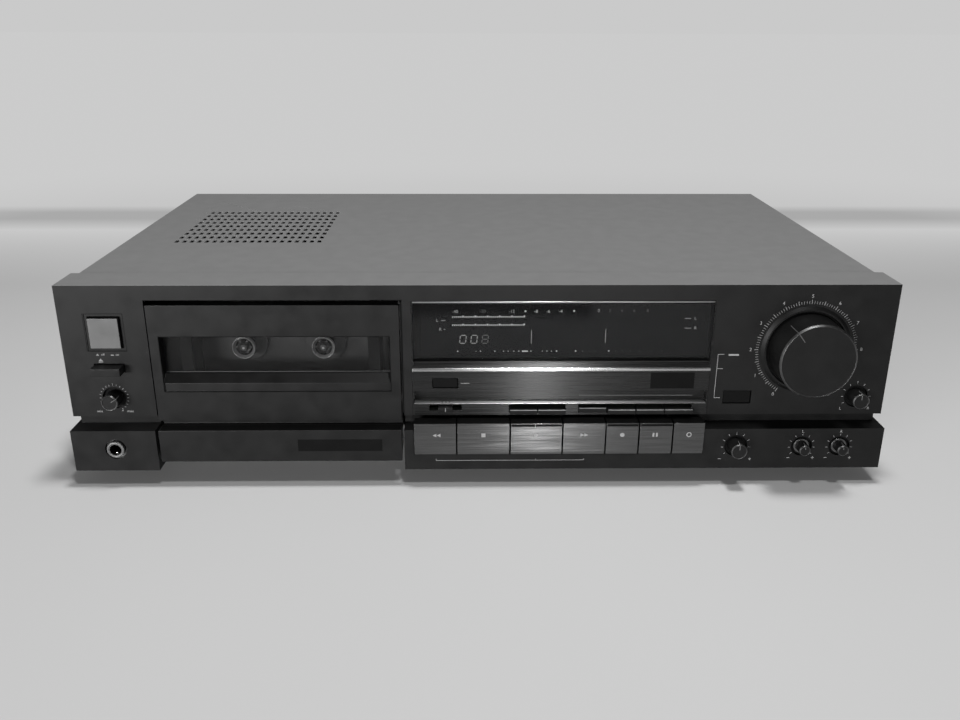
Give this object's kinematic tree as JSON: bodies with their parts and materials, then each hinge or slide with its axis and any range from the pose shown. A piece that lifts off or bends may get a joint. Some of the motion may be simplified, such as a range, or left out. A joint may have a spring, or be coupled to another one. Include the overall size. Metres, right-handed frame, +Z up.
{
  "type": "cassette deck",
  "caption": "Full-width front-loading cassette deck: dark fascia with tilting door, display window, transport buttons, level dial, vented steel cover and tape mechanism.",
  "frame": {"origin": "centre of the bounding box in plan, on the surface that the feet stand on", "axes": "+X to the right seen from the front, +Y to the rear, +Z up"},
  "size_m": [0.43, 0.28, 0.11],
  "materials": {
    "fascia": "fine matt moulding",
    "cover": "fine textured paint",
    "black_plastic": "satin",
    "button_face": "satin",
    "brushed": "dark, brushed",
    "chrome": "polished",
    "smoked_glass": "smoked acrylic",
    "steel": "plated sheet and turned parts",
    "rubber": "matt",
    "circuit_board": "laminate",
    "iron": "dark",
    "display": "display glass"
  },
  "bodies": {
    "case": {"front_panel": "fascia", "centre_panel": "fascia", "display_window": "smoked_glass", "display_module": "display", "trim_bar": "chrome", "bottom_chassis": "steel", "top_cover": "cover", "rear_panel": "cover", "socket_block": "black_plastic", "mains_inlet": "black_plastic", "phones_jack": "chrome", "foot_front_left": "rubber", "foot_front_right": "rubber", "foot_rear_left": "rubber", "foot_rear_right": "rubber", "left_board": "circuit_board", "front_board": "circuit_board", "main_board": "circuit_board", "power_transformer": "iron", "heat_sink": "iron", "mechanism_plate": "steel", "capstan_motor": "steel", "reel_motor": "steel", "capstan_belt": "rubber"},
    "door": {"door_panel": "fascia", "door_window": "smoked_glass", "door_flap": "fascia", "cassette_holder": "black_plastic"},
    "power_button": {"power_button": "button_face"},
    "eject_button": {"eject_button": "black_plastic"},
    "phones_knob": {"phones_knob": "black_plastic"},
    "input_level_knob": {"input_level_knob": "black_plastic"},
    "balance_knob": {"balance_knob": "black_plastic"},
    "bias_knob": {"bias_knob": "black_plastic"},
    "left_calibration_knob": {"left_calibration_knob": "black_plastic"},
    "right_calibration_knob": {"right_calibration_knob": "black_plastic"},
    "monitor_button": {"monitor_button": "black_plastic"},
    "counter_reset_button": {"counter_reset_button": "black_plastic"},
    "timer_slider": {"timer_slider": "black_plastic"},
    "rewind_button": {"rewind_button": "brushed"},
    "stop_button": {"stop_button": "brushed"},
    "play_button": {"play_button": "brushed"},
    "forward_button": {"forward_button": "brushed"},
    "record_button": {"record_button": "brushed"},
    "pause_button": {"pause_button": "brushed"},
    "mute_button": {"mute_button": "brushed"},
    "push_lever_1": {"push_lever_1": "brushed"},
    "push_lever_2": {"push_lever_2": "brushed"},
    "push_lever_3": {"push_lever_3": "brushed"},
    "push_lever_4": {"push_lever_4": "brushed"},
    "push_lever_5": {"push_lever_5": "brushed"},
    "push_lever_6": {"push_lever_6": "brushed"},
    "supply_reel": {"supply_spindle": "black_plastic"},
    "takeup_reel": {"takeup_spindle": "black_plastic"},
    "left_capstan": {"left_capstan": "steel"},
    "right_capstan": {"right_capstan": "steel"},
    "motor_pulley": {"motor_pulley": "steel"},
    "head_slide": {"head_carriage": "steel"},
    "left_roller": {"left_pinch_roller": "rubber"},
    "right_roller": {"right_pinch_roller": "rubber"}
  },
  "joints": [
    {"name": "door_hinge", "type": "hinge", "parent": "case", "child": "door", "pos_m": [-0.1049, -0.112, 0.03], "axis": [1, 0, 0], "range_deg": [0, 25]},
    {"name": "power_press", "type": "slide", "parent": "case", "child": "power_button", "axis": [0, 1, 0], "range_m": [0, 0.003]},
    {"name": "eject_press", "type": "slide", "parent": "case", "child": "eject_button", "axis": [0, 1, 0], "range_m": [0, 0.003], "stiffness_N_per_m": 250},
    {"name": "phones_turn", "type": "hinge", "parent": "case", "child": "phones_knob", "pos_m": [-0.192, -0.121, 0.04895], "axis": [0, 1, 0], "range_deg": [-150, 150]},
    {"name": "input_level_turn", "type": "hinge", "parent": "case", "child": "input_level_knob", "pos_m": [0.17, -0.121, 0.075], "axis": [0, 1, 0], "range_deg": [-112, 188]},
    {"name": "balance_turn", "type": "hinge", "parent": "case", "child": "balance_knob", "pos_m": [0.2, -0.121, 0.0485], "axis": [0, 1, 0], "range_deg": [-135, 135]},
    {"name": "bias_turn", "type": "hinge", "parent": "case", "child": "bias_knob", "pos_m": [0.1365, -0.121, 0.02305], "axis": [0, 1, 0], "range_deg": [-135, 135]},
    {"name": "left_calibration_turn", "type": "hinge", "parent": "case", "child": "left_calibration_knob", "pos_m": [0.1718, -0.121, 0.0227], "axis": [0, 1, 0], "range_deg": [-135, 135]},
    {"name": "right_calibration_turn", "type": "hinge", "parent": "case", "child": "right_calibration_knob", "pos_m": [0.192, -0.121, 0.0227], "axis": [0, 1, 0], "range_deg": [-135, 135]},
    {"name": "monitor_press", "type": "slide", "parent": "case", "child": "monitor_button", "axis": [0, 1, 0], "range_m": [0, 0.0015]},
    {"name": "counter_reset_press", "type": "slide", "parent": "case", "child": "counter_reset_button", "axis": [0, 1, 0], "range_m": [0, 0.0015], "stiffness_N_per_m": 250},
    {"name": "timer_shift", "type": "slide", "parent": "case", "child": "timer_slider", "axis": [1, 0, 0], "range_m": [-0.0044, 0.0044]},
    {"name": "rewind_press", "type": "slide", "parent": "case", "child": "rewind_button", "axis": [0, 1, 0], "range_m": [0, 0.0025], "stiffness_N_per_m": 250},
    {"name": "stop_press", "type": "slide", "parent": "case", "child": "stop_button", "axis": [0, 1, 0], "range_m": [0, 0.0025], "stiffness_N_per_m": 250},
    {"name": "play_press", "type": "slide", "parent": "case", "child": "play_button", "axis": [0, 1, 0], "range_m": [0, 0.0025], "stiffness_N_per_m": 250},
    {"name": "forward_press", "type": "slide", "parent": "case", "child": "forward_button", "axis": [0, 1, 0], "range_m": [0, 0.0025], "stiffness_N_per_m": 250},
    {"name": "record_press", "type": "slide", "parent": "case", "child": "record_button", "axis": [0, 1, 0], "range_m": [0, 0.0025], "stiffness_N_per_m": 250},
    {"name": "pause_press", "type": "slide", "parent": "case", "child": "pause_button", "axis": [0, 1, 0], "range_m": [0, 0.0025], "stiffness_N_per_m": 250},
    {"name": "mute_press", "type": "slide", "parent": "case", "child": "mute_button", "axis": [0, 1, 0], "range_m": [0, 0.0025], "stiffness_N_per_m": 250},
    {"name": "push_lever_1_press", "type": "slide", "parent": "case", "child": "push_lever_1", "axis": [0, 1, 0], "range_m": [0, 0.0026]},
    {"name": "push_lever_2_press", "type": "slide", "parent": "case", "child": "push_lever_2", "axis": [0, 1, 0], "range_m": [0, 0.0026]},
    {"name": "push_lever_3_press", "type": "slide", "parent": "case", "child": "push_lever_3", "axis": [0, 1, 0], "range_m": [-0.0026, 0]},
    {"name": "push_lever_4_press", "type": "slide", "parent": "case", "child": "push_lever_4", "axis": [0, 1, 0], "range_m": [0, 0.0026]},
    {"name": "push_lever_5_press", "type": "slide", "parent": "case", "child": "push_lever_5", "axis": [0, 1, 0], "range_m": [0, 0.0026]},
    {"name": "push_lever_6_press", "type": "slide", "parent": "case", "child": "push_lever_6", "axis": [0, 1, 0], "range_m": [0, 0.0026]},
    {"name": "supply_spin", "type": "hinge", "parent": "case", "child": "supply_reel", "pos_m": [-0.12615, -0.101, 0.0707], "axis": [0, 1, 0], "continuous": true},
    {"name": "takeup_spin", "type": "hinge", "parent": "case", "child": "takeup_reel", "pos_m": [-0.08365, -0.101, 0.0707], "axis": [0, 1, 0], "continuous": true},
    {"name": "left_capstan_spin", "type": "hinge", "parent": "case", "child": "left_capstan", "pos_m": [-0.1343, -0.101, 0.0437], "axis": [0, 1, 0], "continuous": true},
    {"name": "right_capstan_spin", "type": "hinge", "parent": "case", "child": "right_capstan", "pos_m": [-0.0755, -0.101, 0.0437], "axis": [0, 1, 0], "continuous": true},
    {"name": "motor_pulley_spin", "type": "hinge", "parent": "case", "child": "motor_pulley", "pos_m": [-0.17, -0.076, 0.0437], "axis": [0, 1, 0], "continuous": true},
    {"name": "head_lift", "type": "slide", "parent": "case", "child": "head_slide", "axis": [0, 0, 1], "range_m": [0, 0.008]},
    {"name": "left_roller_spin", "type": "hinge", "parent": "head_slide", "child": "left_roller", "pos_m": [-0.1343, -0.102, 0.02775], "axis": [0, 1, 0], "continuous": true},
    {"name": "right_roller_spin", "type": "hinge", "parent": "head_slide", "child": "right_roller", "pos_m": [-0.0755, -0.102, 0.02775], "axis": [0, 1, 0], "continuous": true}
  ],
  "couplings": [
    {"joint": "right_capstan_spin", "follows": "left_capstan_spin", "ratio": 1},
    {"joint": "motor_pulley_spin", "follows": "left_capstan_spin", "ratio": 6.75}
  ]
}
